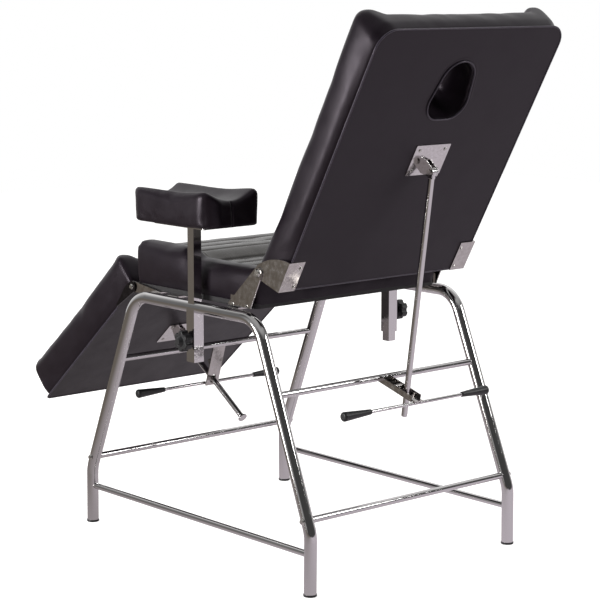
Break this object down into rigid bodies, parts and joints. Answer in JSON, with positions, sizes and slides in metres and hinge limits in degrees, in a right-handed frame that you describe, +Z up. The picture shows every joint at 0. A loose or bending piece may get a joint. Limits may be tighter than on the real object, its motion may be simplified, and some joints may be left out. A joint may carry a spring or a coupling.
{
  "type": "tattoo chair",
  "caption": "Padded reclining chair on a splayed tube frame, with a tilting backrest with a face hole, a tilting leg rest, rod locks and sliding armrests.",
  "frame": {"origin": "on the floor, under the middle of the whole chair as pictured, backrest half raised and leg rest lowered", "axes": "+Z up; the sitter looks along -Y; +X is the sitter's left"},
  "size_m": [0.751, 1.2866, 1.2526],
  "materials": {
    "chromed_tube": "bright chrome",
    "plate_steel": "satin plated sheet steel",
    "fastener_steel": "bright zinc-plated steel",
    "upholstery": "soft black coated upholstery fabric over foam",
    "panel": "plywood covered in smooth black sheet",
    "black_plastic": "black moulded plastic"
  },
  "bodies": {
    "frame": {"side_frame_left": "chromed_tube", "side_frame_right": "chromed_tube", "side_stretcher_left": "chromed_tube", "side_stretcher_right": "chromed_tube", "front_lower_crossbar": "chromed_tube", "rear_lower_crossbar": "chromed_tube", "front_middle_crossbar": "chromed_tube", "rear_middle_crossbar": "chromed_tube", "crossbar_bolts": "fastener_steel", "foot_plugs": "black_plastic", "armrest_socket_left": "chromed_tube", "armrest_socket_right": "chromed_tube", "seat_tabs": "plate_steel", "seat_tab_screws": "fastener_steel", "seat_board": "panel", "seat_cushion": "upholstery", "seat_hinge_plate_left": "plate_steel", "seat_hinge_plate_right": "plate_steel", "front_hinge_plate_left": "plate_steel", "front_hinge_plate_right": "plate_steel", "seat_plate_screws": "fastener_steel", "back_lock_channel": "plate_steel", "back_lever_pin": "fastener_steel", "leg_lock_plate": "plate_steel", "leg_lever_pin": "fastener_steel"},
    "backrest": {"back_board": "panel", "back_cushion": "upholstery", "back_hinge_plate_left": "plate_steel", "back_hinge_plate_right": "plate_steel", "back_hinge_pins": "fastener_steel", "back_rod_plate": "plate_steel", "back_plate_screws": "fastener_steel"},
    "leg_rest": {"leg_board": "panel", "leg_cushion": "upholstery", "leg_hinge_plate_left": "plate_steel", "leg_hinge_plate_right": "plate_steel", "leg_hinge_pins": "fastener_steel", "leg_rod_plate": "plate_steel", "leg_plate_screws": "fastener_steel"},
    "back_strut": {"back_rod": "chromed_tube", "back_rod_pin": "fastener_steel"},
    "leg_strut": {"leg_rod": "chromed_tube", "leg_rod_pin": "fastener_steel"},
    "back_lever": {"back_clamp_plate": "plate_steel", "back_lever_bar": "chromed_tube", "back_lever_grips": "black_plastic"},
    "leg_lever": {"leg_clamp_plate": "plate_steel", "leg_lever_bar": "chromed_tube", "leg_lever_grips": "black_plastic"},
    "armrest_left": {"armrest_post_left": "chromed_tube", "armrest_pad_left": "upholstery", "armrest_screws_left": "fastener_steel"},
    "armrest_right": {"armrest_post_right": "chromed_tube", "armrest_pad_right": "upholstery", "armrest_screws_right": "fastener_steel"},
    "clamp_left": {"knob_left": "black_plastic", "knob_stud_left": "fastener_steel"},
    "clamp_right": {"knob_right": "black_plastic", "knob_stud_right": "fastener_steel"}
  },
  "joints": [
    {"name": "backrest_tilt", "type": "hinge", "parent": "frame", "child": "backrest", "pos_m": [0, 0.26445, 0.678], "axis": [1, 0, 0], "range_deg": [-61, 11]},
    {"name": "leg_rest_tilt", "type": "hinge", "parent": "frame", "child": "leg_rest", "pos_m": [0, -0.19855, 0.595], "axis": [1, 0, 0], "range_deg": [-30, 10]},
    {"name": "back_strut_pivot", "type": "hinge", "parent": "backrest", "child": "back_strut", "pos_m": [-0.012, 0.49667, 0.89686], "axis": [1, 0, 0], "range_deg": [-6, 32.5]},
    {"name": "leg_strut_pivot", "type": "hinge", "parent": "leg_rest", "child": "leg_strut", "pos_m": [0, -0.37515, 0.41093], "axis": [1, 0, 0], "range_deg": [-6.5, 19]},
    {"name": "back_lever_press", "type": "hinge", "parent": "frame", "child": "back_lever", "pos_m": [-0.012, 0.39449, 0.40676], "axis": [1, 0, 0], "range_deg": [0, 8], "stiffness_Nm_per_rad": 1, "springref_deg": -17.19},
    {"name": "leg_lever_press", "type": "hinge", "parent": "frame", "child": "leg_lever", "pos_m": [0, -0.2501, 0.37476], "axis": [1, 0, 0], "range_deg": [-8, 0], "stiffness_Nm_per_rad": 1, "springref_deg": 17.19},
    {"name": "armrest_left_height", "type": "slide", "parent": "frame", "child": "armrest_left", "axis": [0, 0, 1], "range_m": [-0.05, 0.025]},
    {"name": "armrest_right_height", "type": "slide", "parent": "frame", "child": "armrest_right", "axis": [0, 0, 1], "range_m": [-0.05, 0.05]},
    {"name": "clamp_left_turn", "type": "hinge", "parent": "frame", "child": "clamp_left", "pos_m": [0.3168, 0.06095, 0.506], "axis": [1, 0, 0], "range_deg": [0, 360]},
    {"name": "clamp_right_turn", "type": "hinge", "parent": "frame", "child": "clamp_right", "pos_m": [-0.3168, 0.06095, 0.506], "axis": [1, 0, 0], "range_deg": [0, 360]}
  ],
  "couplings": [
    {"joint": "back_strut_pivot", "follows": "backrest_tilt", "ratio": -0.525},
    {"joint": "leg_strut_pivot", "follows": "leg_rest_tilt", "ratio": -0.63}
  ]
}
